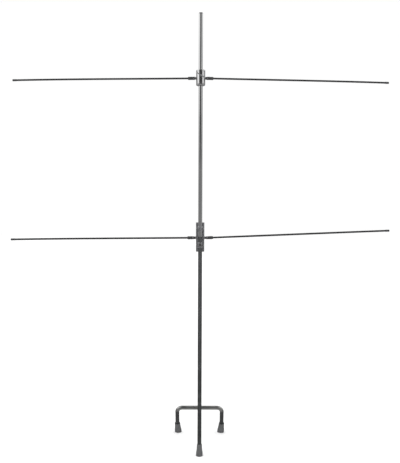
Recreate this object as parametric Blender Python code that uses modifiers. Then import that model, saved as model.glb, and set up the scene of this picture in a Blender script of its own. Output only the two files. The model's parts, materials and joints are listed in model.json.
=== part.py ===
"""Floor-standing twin-dipole antenna: a leaning two-piece mast on three feet, with two pairs of folding rods.

Metres, +Z up. The origin is the middle of the mast foot's sole, +X runs along the rods, +Y points back.
"""
from math import asin, cos, pi, radians, sin

import bmesh
import bpy
from mathutils import Matrix, Vector

# Fits
gap = 0.0003
run_gap = 0.0003

# Mast
mast_lean = radians(6.0)
mast_radius = 0.0095
mast_wall = 0.0015
mast_top = 2.0835
splice_height = 1.019
top_cap_inset = 0.0001
top_cap_height = 0.004
top_cap_plug = 0.018
spigot_length = 0.130
spigot_wall = 0.003
spigot_pin_radius = 0.0015
spigot_pin_drop = 0.050

# Upper hub: collar, bushes and wing screw, with heights counted from the collar's middle
collar_drop = 0.3112
collar_length = 0.0734
collar_wall = 0.00705
collar_round = 0.003
bush_wall = 0.0042
bush_sleeve = 0.014
bush_flange = 0.0027
bush_flange_thick = 0.002
wing_rise = 0.0070
wing_span = 0.046
wing_thick = 0.0034
wing_depth = 0.012
wing_hub_radius = 0.0055
wing_angle = radians(-32.0)

# Lower hub: splice body, bands and clamp knob, with heights counted from the joint of the two tubes
splice_length = 0.1375
splice_wall = 0.0099
splice_front = 0.002
band_thick = 0.0025
band_arch = 0.0026
upper_band_rise = 0.0405
upper_band_width = 0.0215
lower_band_drop = 0.0380
lower_band_width = 0.0262
band_side_margin = 0.0003
band_boss_radius = 0.0085
band_boss_height = 0.0067
knob_radius = 0.0100
knob_length = 0.0125
knob_flutes = 10
knob_flute_depth = 0.0006
knob_standoff = 0.0019
screw_shank = 0.003
pad_radius = 0.0027
pad_thick = 0.0024
band_screw_inset = 0.0050
band_screw_shank = 0.0018
band_screw_head = 0.0035
band_screw_head_thick = 0.0024
band_screw_depth = 0.010

# Arms
upper_arm_drop = 0.0023
lower_arm_drop = 0.0035
fold_clear = 0.00315
rod_reach = 0.8905
rod_radius = 0.0043
rod_wall = 0.0008
ferrule_radius = 0.0075
ferrule_length = 0.0285
ferrule_shoulder = 0.0035
rod_start = 0.0110
fork_heel = 0.0008
tongue_thick = 0.0050
tongue_radius = 0.0060
neck_radius = 0.0065
lug_shank_radius = 0.0040
lug_shank_length = 0.0055
pin_radius = 0.0020
pin_head_radius = 0.0036
pin_head_thick = 0.0012
pin_sink = 0.0009
cap_length = 0.0180
cap_wall = 0.0005
terminal_offset = 0.0200
terminal_shank = 0.0015
terminal_head = 0.0032
terminal_head_thick = 0.0022
arm_tilts = {
    "upper_left": radians(-0.83),
    "upper_right": radians(-1.23),
    "lower_left": radians(-0.72),
    "lower_right": radians(2.48),
}

# Rear leg frame, stay and feet
frame_back = 0.319
frame_rake = radians(20.8)
frame_half_width = 0.1115
frame_rise = 0.1523
frame_radius = 0.0101
frame_wall = 0.0015
frame_bend = 0.025
stay_radius = 0.0080
stay_wall = 0.0015
stay_pin_radius = 0.0015
stay_pin_inset = 0.0165
saddle_half_width = 0.0090
saddle_half_height = 0.030
saddle_front = 0.004
saddle_thick = 0.0080
saddle_spigot = 0.024
saddle_screw_rise = 0.0215
saddle_screw_shank = 0.002
saddle_screw_head = 0.0038
saddle_screw_head_thick = 0.0026
end_block_reach = 0.026
end_block_front = 0.002
bolt_shank = 0.003
bolt_head_radius = 0.0058
bolt_head_thick = 0.0040
bolt_depth = 0.014
mast_tip_length = 0.053
mast_tip_wall = 0.0024
mast_tip_flare = 0.0033
rear_tip_length = 0.056
rear_tip_wall = 0.0036
rear_tip_flare = 0.0032
rear_tip_lean_in = 0.004
sole_thick = 0.006
tip_round = 0.003
washer_thick = 0.002

# Sides of the round pieces
tube_sides = 28
small_sides = 20
screw_sides = 12
hex_sides = 6
bend_steps = 6

for old in list(bpy.data.objects):
    bpy.data.objects.remove(old)

parts = bpy.data.collections.new("dipole_antenna")
cutters = bpy.data.collections.new("cutters")
bpy.context.scene.collection.children.link(parts)
bpy.context.scene.collection.children.link(cutters)


def finish(name, colour, roughness, metallic):
    """A material of one colour."""
    made = bpy.data.materials.new(name)
    made.use_nodes = True
    shader = made.node_tree.nodes["Principled BSDF"]
    shader.inputs["Base Color"].default_value = (*colour, 1.0)
    shader.inputs["Roughness"].default_value = roughness
    shader.inputs["Metallic"].default_value = metallic
    return made


chrome = (0.80, 0.80, 0.81)
dark_steel = (0.16, 0.165, 0.17)
gunmetal = (0.20, 0.205, 0.215)
bright_steel = (0.62, 0.62, 0.63)
black_plastic = (0.035, 0.036, 0.038)
grey_rubber = (0.13, 0.13, 0.135)
grey_nylon = (0.20, 0.20, 0.205)
brass = (0.66, 0.50, 0.22)

TO_X = Matrix.Rotation(pi / 2, 4, "Y")
TO_BACK = Matrix.Rotation(-pi / 2, 4, "X")
TO_FRONT = Matrix.Rotation(pi / 2, 4, "X")
UPRIGHT = Matrix.Identity(4)


def frame_of(name, matrix, parent=None):
    """An empty that carries a set of pieces."""
    holder = bpy.data.objects.new(name, None)
    parts.objects.link(holder)
    holder.parent = parent
    holder.matrix_local = matrix
    return holder


def put(obj, holder, at, turn, look=None):
    """Links a piece under its holder, with its material, or as a hidden cutter when it has none."""
    obj.parent = holder
    obj.matrix_local = Matrix.Translation(at) @ turn
    if look:
        parts.objects.link(obj)
        made = finish(obj.name + "_finish", *look)
        obj.data.materials.append(made)
    else:
        cutters.objects.link(obj)
        obj.hide_render = True
        obj.display_type = "WIRE"
    return obj


def turned(name, outline, sides, holder, at, turn, look=None):
    """A piece turned on local Z from (radius, height) points that run down its outer side."""
    mesh = bpy.data.meshes.new(name)
    obj = bpy.data.objects.new(name, mesh)
    shape = bmesh.new()
    corners = [shape.verts.new((radius, 0, height)) for radius, height in outline]
    for upper, lower in zip(corners, corners[1:]):
        shape.edges.new((upper, lower))
    if outline[0][0] > 0:
        shape.edges.new((corners[-1], corners[0]))
    shape.to_mesh(mesh)
    shape.free()
    screw = obj.modifiers.new("turn", "SCREW")
    screw.steps = sides
    screw.render_steps = sides
    screw.use_merge_vertices = True
    screw.merge_threshold = 0.00002
    screw.use_smooth_shade = True
    return put(obj, holder, at, turn, look)


def rod_outline(radius, low, high):
    """Half the section of a plain round bar."""
    return [(0, high), (radius, high), (radius, low), (0, low)]


def ring_outline(outer, inner, low, high):
    """Half the section of a plain round tube."""
    return [(outer, high), (outer, low), (inner, low), (inner, high)]


def to_mesh(curve_obj, name, holder, at, turn, look=None):
    """Makes a curve object a closed mesh and removes the curve."""
    bpy.context.view_layer.update()
    depsgraph = bpy.context.evaluated_depsgraph_get()
    mesh = bpy.data.meshes.new_from_object(curve_obj.evaluated_get(depsgraph))
    mesh.name = name
    bpy.data.objects.remove(curve_obj)
    shape = bmesh.new()
    shape.from_mesh(mesh)
    bmesh.ops.remove_doubles(shape, verts=shape.verts, dist=0.00001)
    shape.to_mesh(mesh)
    shape.free()
    mesh.shade_smooth()
    mesh.set_sharp_from_angle(angle=radians(30))
    return put(bpy.data.objects.new(name, mesh), holder, at, turn, look)


def curve_through(name, points, dimensions, closed):
    """A curve object of one POLY spline."""
    curve = bpy.data.curves.new(name, "CURVE")
    curve.dimensions = dimensions
    spline = curve.splines.new("POLY")
    spline.points.add(len(points) - 1)
    for spot, point in zip(spline.points, points):
        spot.co = (*point, 1.0)
    spline.use_cyclic_u = closed
    obj = bpy.data.objects.new(name + "_curve", curve)
    parts.objects.link(obj)
    return obj


def plate(name, outline, thickness, holder, at, turn, look=None):
    """A flat piece from an outline in local XY, half its thickness to each side along local Z."""
    obj = curve_through(name, [(x, y, 0) for x, y in outline], "2D", True)
    obj.data.fill_mode = "BOTH"
    obj.data.extrude = thickness / 2
    return to_mesh(obj, name, holder, at, turn, look)


def bent_bar(name, path, radius, holder, at, turn, look=None):
    """A round bar along a path, with flat ends."""
    obj = curve_through(name, path, "3D", False)
    obj.data.bevel_depth = radius
    obj.data.bevel_resolution = 4
    obj.data.use_fill_caps = True
    return to_mesh(obj, name, holder, at, turn, look)


def box(name, low, high, holder, at, turn, look=None):
    """A block between two corners."""
    mesh = bpy.data.meshes.new(name)
    shape = bmesh.new()
    size = Vector(high) - Vector(low)
    middle = (Vector(high) + Vector(low)) / 2
    spread = Matrix.Translation(middle) @ Matrix.Diagonal((*size, 1.0))
    bmesh.ops.create_cube(shape, size=1.0, matrix=spread)
    shape.to_mesh(mesh)
    shape.free()
    return put(bpy.data.objects.new(name, mesh), holder, at, turn, look)


def join(obj, tool, operation="DIFFERENCE"):
    """Cuts a piece with a tool, adds the tool's shape to it, or keeps what they share."""
    step = obj.modifiers.new(tool.name, "BOOLEAN")
    step.operation = operation
    step.solver = "EXACT"
    step.object = tool


def arc(radius, start, end, steps, centre=(0.0, 0.0)):
    """Points along part of a circle, in radians."""
    turns = [start + (end - start) * step / steps for step in range(steps + 1)]
    return [(centre[0] + radius * cos(a), centre[1] + radius * sin(a)) for a in turns]


# Mast: everything on it is placed in its own leaning frame, Z along the tube and Y square to it, backwards.
mast = frame_of("mast_frame", Matrix.Rotation(-mast_lean, 4, "X"))
bore_radius = mast_radius - mast_wall
sliding_radius = mast_radius + run_gap
collar_height = mast_top - collar_drop
wing_height = collar_height + wing_rise
upper_band_height = splice_height + upper_band_rise
lower_band_height = splice_height - lower_band_drop
mast_start = sole_thick + washer_thick + 2 * gap
upper_tube_start = splice_height + gap
upper_tube_end = mast_top - top_cap_height - gap

lower_tube = turned(
    "lower_mast_tube", ring_outline(mast_radius, bore_radius, mast_start, splice_height),
    tube_sides, mast, (0, 0, 0), UPRIGHT, (dark_steel, 0.35, 0.9))
turned(
    "upper_mast_tube", ring_outline(mast_radius, bore_radius, upper_tube_start, upper_tube_end),
    tube_sides, mast, (0, 0, 0), UPRIGHT, (chrome, 0.12, 1.0))

plug_radius = bore_radius - gap
top_cap_radius = mast_radius - top_cap_inset
cap_outline = [
    (0, top_cap_height), (top_cap_radius - 0.0015, top_cap_height), (top_cap_radius, top_cap_height - 0.0015),
    (top_cap_radius, 0), (plug_radius, 0), (plug_radius, -top_cap_plug), (0, -top_cap_plug)]
turned(
    "mast_top_cap", cap_outline, tube_sides, mast, (0, 0, mast_top - top_cap_height), UPRIGHT,
    (black_plastic, 0.5, 0.0))

# Spigot that lines up the two tubes, pinned in the lower one
spigot_radius = bore_radius - gap
spigot_low = splice_height - spigot_length / 2
spigot = turned(
    "splice_spigot",
    ring_outline(spigot_radius, spigot_radius - spigot_wall, spigot_low, spigot_low + spigot_length),
    small_sides, mast, (0, 0, 0), UPRIGHT, (bright_steel, 0.4, 1.0))
pin_spot = (0, 0, splice_height - spigot_pin_drop)
turned(
    "spigot_pin", rod_outline(spigot_pin_radius, -mast_radius + 2 * gap, mast_radius - 2 * gap),
    screw_sides, mast, pin_spot, TO_X, (bright_steel, 0.3, 1.0))
spigot_pin_hole = turned(
    "spigot_pin_hole", rod_outline(spigot_pin_radius + gap, -mast_radius * 2, mast_radius * 2),
    screw_sides, mast, pin_spot, TO_X)
join(lower_tube, spigot_pin_hole)
join(spigot, spigot_pin_hole)

# Upper hub
collar_low = collar_height - collar_length / 2
collar_high = collar_height + collar_length / 2
bush_radius = sliding_radius + bush_wall
collar_bore = bush_radius + gap
collar_radius = collar_bore + collar_wall
flange_radius = bush_radius + bush_flange
recess_radius = flange_radius + gap
recess_depth = bush_flange_thick + gap
half = collar_length / 2
rim = collar_round
collar_profile = [
    (collar_radius - rim, half), (collar_radius - rim * 0.3, half - rim * 0.3), (collar_radius, half - rim),
    (collar_radius, rim - half), (collar_radius - rim * 0.3, rim * 0.3 - half), (collar_radius - rim, -half),
    (recess_radius, -half), (recess_radius, recess_depth - half), (collar_bore, recess_depth - half),
    (collar_bore, half - recess_depth), (recess_radius, half - recess_depth), (recess_radius, half)]
collar = turned(
    "upper_collar", collar_profile, tube_sides, mast, (0, 0, collar_height), UPRIGHT, (chrome, 0.1, 1.0))
bush_profile = [
    (flange_radius, 0), (flange_radius, -bush_flange_thick), (bush_radius, -bush_flange_thick),
    (bush_radius, -bush_sleeve), (sliding_radius, -bush_sleeve), (sliding_radius, 0)]
turned(
    "collar_bush_top", bush_profile, tube_sides, mast, (0, 0, collar_high), UPRIGHT, (grey_nylon, 0.5, 0.0))
turned(
    "collar_bush_bottom", bush_profile, tube_sides, mast, (0, 0, collar_low), Matrix.Rotation(pi, 4, "X"),
    (grey_nylon, 0.5, 0.0))


def clamp_pad(name, height):
    """A brass pad that a screw presses on the front of the mast; its own Z points to the front."""
    turned(
        name, rod_outline(pad_radius, 0, pad_thick), screw_sides, mast,
        (0, -sliding_radius, height), TO_FRONT, (brass, 0.4, 1.0))


screw_start = sliding_radius + pad_thick + gap
thread_radius = screw_shank + gap

# Wing screw: a turned hub and shank with two flat wings
clamp_pad("wing_screw_pad", wing_height)
wing_seat = collar_radius + knob_standoff
wing_turn = TO_FRONT @ Matrix.Rotation(wing_angle, 4, "Z")
wing_hub_end = wing_seat + wing_depth * 0.8
wing_screw = turned(
    "wing_screw",
    [(0, wing_hub_end), (wing_hub_radius * 0.7, wing_hub_end), (wing_hub_radius, wing_hub_end - 0.002),
     (wing_hub_radius, wing_seat), (screw_shank, wing_seat), (screw_shank, screw_start), (0, screw_start)],
    small_sides, mast, (0, 0, wing_height), wing_turn, (bright_steel, 0.25, 1.0))
half_span = wing_span / 2
wing_end = wing_depth * 0.35
wing_outline = (
    [(-wing_hub_radius * 0.6, wing_seat + 0.001)]
    + [(wing_hub_radius * 0.6, wing_seat + 0.001)]
    + arc(wing_end, -pi / 2, pi / 2, 6, (half_span - wing_end, wing_seat + wing_depth - wing_end))
    + [(0, wing_hub_end - 0.003)]
    + arc(wing_end, pi / 2, 3 * pi / 2, 6, (wing_end - half_span, wing_seat + wing_depth - wing_end)))
wings = plate(
    "wing_blank", wing_outline, wing_thick, mast, (0, 0, wing_height),
    wing_turn @ Matrix.Rotation(pi / 2, 4, "X"))
join(wing_screw, wings, "UNION")
wing_hole = turned(
    "wing_hole", rod_outline(thread_radius, mast_radius / 2, collar_radius * 2), screw_sides, mast,
    (0, 0, wing_height), TO_FRONT)
join(collar, wing_hole)

# Lower hub: a round-backed body, open at the front, that holds the ends of both tubes
splice_radius = sliding_radius + splice_wall
band_screw_side = sliding_radius + band_screw_inset
front_reach = (splice_radius**2 - splice_front**2) ** 0.5
outer_start = -asin(splice_front / splice_radius)
groove_start = -asin(splice_front / sliding_radius)
splice_outline = (
    arc(splice_radius, outer_start, pi - outer_start, 20)
    + arc(sliding_radius, pi - groove_start, groove_start, 16))
splice_body = plate(
    "splice_body", splice_outline, splice_length, mast, (0, 0, splice_height), UPRIGHT, (gunmetal, 0.4, 0.9))

band_back = splice_front + gap
band_front = band_back + band_thick
band_outer = sliding_radius + band_arch
band_side = front_reach - band_side_margin
inner_start = asin(band_back / sliding_radius)
arch_start = asin(band_front / band_outer)
band_outline = (
    [(-band_side, -band_back)]
    + arc(sliding_radius, pi + inner_start, 2 * pi - inner_start, 12)
    + [(band_side, -band_back), (band_side, -band_front)]
    + arc(band_outer, 2 * pi - arch_start, pi + arch_start, 14)
    + [(-band_side, -band_front)])


def band(name, height, width):
    """A strap over the front of the tube, with a flat flange on each side, held by two screws."""
    strap = plate(name, band_outline, width, mast, (0, 0, height), UPRIGHT, (gunmetal, 0.4, 0.9))
    for side, label in ((-1, "left"), (1, "right")):
        spot = (side * band_screw_side, 0, height)
        head_back = band_front + gap
        head_front = head_back + band_screw_head_thick
        screw_end = splice_front - band_screw_depth
        screw = turned(
            f"{name}_screw_{label}",
            [(0, head_front), (band_screw_head - 0.0008, head_front), (band_screw_head, head_front - 0.0008),
             (band_screw_head, head_back), (band_screw_shank, head_back), (band_screw_shank, screw_end),
             (0, screw_end)],
            screw_sides, mast, spot, TO_FRONT, (bright_steel, 0.35, 1.0))
        recess = turned(
            f"{name}_recess_{label}",
            rod_outline(band_screw_shank, head_front - 0.0014, head_front + 0.001), hex_sides, mast, spot,
            TO_FRONT)
        join(screw, recess)
        hole = turned(
            f"{name}_hole_{label}", rod_outline(band_screw_shank + gap, screw_end - gap, band_front + 0.002),
            screw_sides, mast, spot, TO_FRONT)
        join(strap, hole)
        join(splice_body, hole)
    return strap


band("upper_band", upper_band_height, upper_band_width)
lower_band = band("lower_band", lower_band_height, lower_band_width)
band_boss_reach = sliding_radius + band_boss_height
boss = turned(
    "clamp_boss", rod_outline(band_boss_radius, sliding_radius + band_arch / 2, band_boss_reach), small_sides,
    mast, (0, 0, lower_band_height), TO_FRONT)
join(lower_band, boss, "UNION")
clamp_hole = turned(
    "clamp_hole", rod_outline(thread_radius, mast_radius / 2, band_boss_reach * 2), screw_sides, mast,
    (0, 0, lower_band_height), TO_FRONT)
join(lower_band, clamp_hole)

# Clamp screw with a moulded, fluted knob
clamp_pad("clamp_pad", lower_band_height)
knob_low = band_boss_reach + knob_standoff
knob_high = knob_low + knob_length
knob_socket = knob_length * 0.6
turned(
    "clamp_screw", rod_outline(screw_shank, screw_start, knob_low + knob_socket), screw_sides, mast,
    (0, 0, lower_band_height), TO_FRONT, (bright_steel, 0.35, 1.0))
flute_points = knob_flutes * 6
knob_outline = []
for step in range(flute_points):
    angle = 2 * pi * step / flute_points
    radius = knob_radius - knob_flute_depth * (1 - cos(knob_flutes * angle))
    knob_outline.append((radius * cos(angle), radius * sin(angle)))
knob = plate(
    "clamp_knob", knob_outline, knob_length, mast, (0, -(knob_low + knob_high) / 2, lower_band_height),
    TO_FRONT, (black_plastic, 0.4, 0.0))
knob_hole = turned(
    "knob_hole", rod_outline(thread_radius, knob_low - 0.002, knob_low + knob_socket + gap), screw_sides,
    mast, (0, 0, lower_band_height), TO_FRONT)
join(knob, knob_hole)
knob_dish = turned(
    "knob_dish", rod_outline(knob_radius * 0.45, knob_high - 0.0015, knob_high + 0.002), small_sides, mast,
    (0, 0, lower_band_height), TO_FRONT)
join(knob, knob_dish)

# Arms: one lug in the hub, and a forked ferrule, pin, rod, cap and terminal screw on each hinge frame
hinge_offset = collar_radius + ferrule_radius + fold_clear
upper_arm_height = collar_height - upper_arm_drop
lower_arm_height = splice_height - lower_arm_drop
neck_end = hinge_offset - ferrule_radius - gap
fork_slot = tongue_thick + 2 * gap
fork_slot_depth = tongue_radius + fork_heel
pin_seat = ferrule_radius - pin_sink
cap_radius = rod_radius + gap + cap_wall
rod_run = rod_reach - hinge_offset
rod_end = rod_run - cap_wall - gap - 0.001


def lug(name, side, height, hub, hub_radius, stop):
    """A hinge lug: shank in the hub, round neck, flat eye with one square corner that stops the arm."""
    holder = frame_of(name + "_frame", Matrix.Translation((0, 0, height)), mast)
    turn = UPRIGHT if side > 0 else Matrix.Rotation(pi, 4, "Z")
    neck_start = hub_radius + gap
    shank_start = hub_radius - lug_shank_length
    piece = turned(
        name,
        [(0, neck_end), (neck_radius - 0.0006, neck_end), (neck_radius, neck_end - 0.0006),
         (neck_radius, neck_start), (lug_shank_radius, neck_start), (lug_shank_radius, shank_start),
         (0, shank_start)],
        small_sides, holder, (0, 0, 0), turn @ TO_X, (bright_steel, 0.35, 1.0))
    eye_outline = (
        [(neck_end - hinge_offset - 0.001, -tongue_radius * stop)]
        + [(tongue_radius, -tongue_radius * stop)]
        + arc(tongue_radius, 0, stop * pi / 2, 6)
        + [(neck_end - hinge_offset - 0.001, tongue_radius * stop)])
    eye = plate(
        name + "_eye", eye_outline, tongue_thick, holder, (side * hinge_offset, 0, 0), turn @ TO_FRONT)
    join(piece, eye, "UNION")
    eye_hole = turned(
        name + "_eye_hole", rod_outline(pin_radius + gap, -tongue_thick, tongue_thick), screw_sides, holder,
        (side * hinge_offset, 0, 0), TO_FRONT)
    join(piece, eye_hole)
    socket = turned(
        name + "_socket", rod_outline(lug_shank_radius + gap, shank_start - gap, hub_radius * 1.5),
        small_sides, holder, (0, 0, 0), turn @ TO_X)
    join(hub, socket)


def arm(name, side, height):
    """A forked ferrule on its hinge pin, with the rod, its end cap and the terminal screw."""
    tilt = Matrix.Rotation(-arm_tilts[name], 4, "Y")
    turn = UPRIGHT if side > 0 else Matrix.Rotation(pi, 4, "Z")
    hinge = frame_of(
        name + "_hinge", Matrix.Translation((side * hinge_offset, 0, height)) @ turn @ tilt, mast)
    to_front = TO_FRONT if side > 0 else TO_BACK
    to_back = TO_BACK if side > 0 else TO_FRONT
    shoulder = ferrule_shoulder
    ferrule = turned(
        name + "_ferrule",
        [(0, ferrule_length), (ferrule_radius - shoulder, ferrule_length)]
        + [(ferrule_radius - shoulder + x, ferrule_length - shoulder + z)
           for x, z in reversed(arc(shoulder, 0, pi / 3, 3))]
        + [(ferrule_radius, -ferrule_radius), (0, -ferrule_radius)],
        tube_sides, hinge, (0, 0, 0), TO_X, (black_plastic, 0.45, 0.0))
    round_end = plate(
        name + "_round_end",
        arc(ferrule_radius, pi / 2, 3 * pi / 2, 12)
        + [(ferrule_length * 2, -ferrule_radius * 1.01), (ferrule_length * 2, ferrule_radius * 1.01)],
        ferrule_radius * 3, hinge, (0, 0, 0), TO_FRONT)
    join(ferrule, round_end, "INTERSECT")
    slot = box(
        name + "_slot", (-ferrule_radius * 2, -fork_slot / 2, -ferrule_radius * 2),
        (fork_slot_depth, fork_slot / 2, ferrule_radius * 2), hinge, (0, 0, 0), UPRIGHT)
    join(ferrule, slot)
    seat_radius = pin_head_radius + gap
    far = ferrule_radius * 2
    pin_bore = turned(
        name + "_pin_bore",
        [(0, far), (seat_radius, far), (seat_radius, pin_seat), (pin_radius + gap, pin_seat),
         (pin_radius + gap, -pin_seat), (seat_radius, -pin_seat), (seat_radius, -far), (0, -far)],
        screw_sides, hinge, (0, 0, 0), to_front)
    join(ferrule, pin_bore)
    rod_bore = turned(
        name + "_rod_bore", rod_outline(rod_radius + gap, rod_start - gap, ferrule_length * 2), small_sides,
        hinge, (0, 0, 0), TO_X)
    join(ferrule, rod_bore)
    head_back = pin_seat + gap
    head_front = head_back + pin_head_thick
    turned(
        name + "_hinge_pin",
        [(0, head_front), (pin_head_radius * 0.7, head_front), (pin_head_radius, head_back + gap),
         (pin_head_radius, head_back), (pin_radius, head_back), (pin_radius, -head_back),
         (pin_head_radius * 0.9, -head_back), (pin_head_radius * 0.6, -head_front), (0, -head_front)],
        screw_sides, hinge, (0, 0, 0), to_front, (bright_steel, 0.3, 1.0))
    turned(
        name + "_rod", ring_outline(rod_radius, rod_radius - rod_wall, rod_start, rod_end), small_sides,
        hinge, (0, 0, 0), TO_X, (dark_steel, 0.35, 0.9))
    cap_start = rod_run - cap_length
    turned(
        name + "_rod_cap",
        [(0, rod_run), (cap_radius * 0.6, rod_run), (cap_radius, rod_run - cap_radius * 0.6),
         (cap_radius, cap_start), (rod_radius + gap, cap_start), (rod_radius + gap, rod_end + gap),
         (0, rod_end + gap)],
        small_sides, hinge, (0, 0, 0), TO_X, (black_plastic, 0.5, 0.0))
    terminal_spot = (terminal_offset, 0, 0)
    terminal_seat = ferrule_radius + gap
    terminal_top = terminal_seat + terminal_head_thick
    turned(
        name + "_terminal_screw",
        [(0, terminal_top), (terminal_head - 0.0006, terminal_top), (terminal_head, terminal_top - 0.0006),
         (terminal_head, terminal_seat), (terminal_shank, terminal_seat), (terminal_shank, rod_radius + gap),
         (0, rod_radius + gap)],
        screw_sides, hinge, terminal_spot, to_back, (brass, 0.35, 1.0))
    terminal_hole = turned(
        name + "_terminal_hole", rod_outline(terminal_shank + gap, 0, far), screw_sides, hinge,
        terminal_spot, to_back)
    join(ferrule, terminal_hole)


for level, height, hub, hub_radius, stop in (
        ("upper", upper_arm_height, collar, collar_radius, 1),
        ("lower", lower_arm_height, splice_body, splice_radius, -1)):
    for side, label in ((-1, "left"), (1, "right")):
        lug(f"{level}_lug_{label}", side, height, hub, hub_radius, stop)
        arm(f"{level}_{label}", side, height)

# Rear leg frame: one tube bent into two legs and a crossbar, in its own raked frame, Z up the legs
frame = frame_of(
    "rear_frame", Matrix.Translation((0, frame_back, 0)) @ Matrix.Rotation(frame_rake, 4, "X"))
leg_start = sole_thick + washer_thick + 2 * gap
bend_x = frame_half_width - frame_bend
bend_z = frame_rise - frame_bend
left_bend = arc(frame_bend, pi, pi / 2, bend_steps, (-bend_x, bend_z))
right_bend = arc(frame_bend, pi / 2, 0, bend_steps, (bend_x, bend_z))


def frame_path(extra):
    """Up the left leg, across and down the right leg, with the ends drawn out by extra."""
    flat = (
        [(-frame_half_width, leg_start - extra)] + left_bend + right_bend
        + [(frame_half_width, leg_start - extra)])
    return [(x, 0, z) for x, z in flat]


leg_frame = bent_bar(
    "rear_leg_frame", frame_path(0), frame_radius, frame, (0, 0, 0), UPRIGHT, (dark_steel, 0.35, 0.9))
leg_bore = bent_bar(
    "rear_leg_bore", frame_path(0.01), frame_radius - frame_wall, frame, (0, 0, 0), UPRIGHT)
join(leg_frame, leg_bore)

# Stay: square to the mast, down to the middle of the crossbar
crossbar_back = frame_back - frame_rise * sin(frame_rake)
crossbar_up = frame_rise * cos(frame_rake)
stay_height = crossbar_back * sin(mast_lean) + crossbar_up * cos(mast_lean)
crossbar_reach = crossbar_back * cos(mast_lean) - crossbar_up * sin(mast_lean)
stay_bore = stay_radius - stay_wall
spigot_fit = stay_bore - gap
stay_end = crossbar_reach - frame_radius - gap - end_block_front - gap
stay_spot = (0, 0, stay_height)
saddle_back = mast_radius + saddle_thick
stay_start = saddle_back + gap
stay = turned(
    "stay_tube", ring_outline(stay_radius, stay_bore, stay_start, stay_end), small_sides, mast, stay_spot,
    TO_BACK, (dark_steel, 0.35, 0.9))

saddle = box(
    "stay_saddle", (-saddle_half_width, saddle_front, -saddle_half_height),
    (saddle_half_width, saddle_back, saddle_half_height), mast, stay_spot, UPRIGHT, (gunmetal, 0.45, 0.9))
saddle_peg = turned(
    "saddle_peg", rod_outline(spigot_fit, saddle_back - 0.003, saddle_back + saddle_spigot), small_sides,
    mast, stay_spot, TO_BACK)
join(saddle, saddle_peg, "UNION")
saddle_seat = turned(
    "saddle_seat", rod_outline(sliding_radius, -saddle_half_height * 2, saddle_half_height * 2), tube_sides,
    mast, stay_spot, UPRIGHT)
join(saddle, saddle_seat)

end_block = turned(
    "stay_end_block",
    [(0, crossbar_reach), (stay_radius, crossbar_reach), (stay_radius, stay_end + gap),
     (spigot_fit, stay_end + gap), (spigot_fit, stay_end - end_block_reach), (0, stay_end - end_block_reach)],
    small_sides, mast, stay_spot, TO_BACK, (gunmetal, 0.45, 0.9))
crossbar_seat = turned(
    "crossbar_seat", rod_outline(frame_radius + gap, -stay_radius * 2, stay_radius * 2), tube_sides, mast,
    (0, crossbar_reach, stay_height), TO_X)
join(end_block, crossbar_seat)

for label, sign in (("upper", 1), ("lower", -1)):
    spot = (0, 0, stay_height + sign * saddle_screw_rise)
    head_back = saddle_back + gap
    head_end = head_back + saddle_screw_head_thick
    screw_tip = mast_radius - mast_wall - 0.003
    turned(
        f"saddle_screw_{label}",
        [(0, head_end), (saddle_screw_head - 0.001, head_end), (saddle_screw_head, head_end - 0.001),
         (saddle_screw_head, head_back), (saddle_screw_shank, head_back), (saddle_screw_shank, screw_tip),
         (0, screw_tip)],
        screw_sides, mast, spot, TO_BACK, (bright_steel, 0.35, 1.0))
    screw_hole = turned(
        f"saddle_screw_hole_{label}",
        rod_outline(saddle_screw_shank + gap, screw_tip - 0.001, saddle_back * 2), screw_sides, mast, spot,
        TO_BACK)
    join(saddle, screw_hole)
    join(lower_tube, screw_hole)

for label, reach, piece in (
        ("front", stay_start + stay_pin_inset, saddle), ("rear", stay_end - stay_pin_inset, end_block)):
    spot = (0, reach, stay_height)
    turned(
        f"stay_pin_{label}", rod_outline(stay_pin_radius, -stay_radius + gap, stay_radius - gap), screw_sides,
        mast, spot, UPRIGHT, (bright_steel, 0.3, 1.0))
    pin_hole = turned(
        f"stay_pin_hole_{label}", rod_outline(stay_pin_radius + gap, -stay_radius * 2, stay_radius * 2),
        screw_sides, mast, spot, UPRIGHT)
    join(stay, pin_hole)
    join(piece, pin_hole)

bolt_back = crossbar_reach + frame_radius + gap
bolt_tip = crossbar_reach - frame_radius - bolt_depth
bolt = turned(
    "crossbar_bolt",
    [(0, bolt_back + bolt_head_thick), (bolt_head_radius - 0.001, bolt_back + bolt_head_thick),
     (bolt_head_radius, bolt_back + bolt_head_thick - 0.001), (bolt_head_radius, bolt_back),
     (bolt_shank, bolt_back), (bolt_shank, bolt_tip), (0, bolt_tip)],
    screw_sides, mast, stay_spot, TO_BACK, (bright_steel, 0.35, 1.0))
bolt_recess = turned(
    "bolt_recess", rod_outline(bolt_shank, bolt_back + bolt_head_thick * 0.4, bolt_back * 2), hex_sides, mast,
    stay_spot, TO_BACK)
join(bolt, bolt_recess)
bolt_hole = turned(
    "bolt_hole", rod_outline(bolt_shank + gap, bolt_tip - gap, bolt_back * 2), screw_sides, mast, stay_spot,
    TO_BACK)
join(leg_frame, bolt_hole)
join(end_block, bolt_hole)

# Rubber tips: cupped over the tube ends, soles flat on the floor, a steel washer under each tube end
floor_cut = box("floor_cut", (-1, -1, -0.2), (1, 1, 0), None, (0, 0, 0), UPRIGHT)


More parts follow.
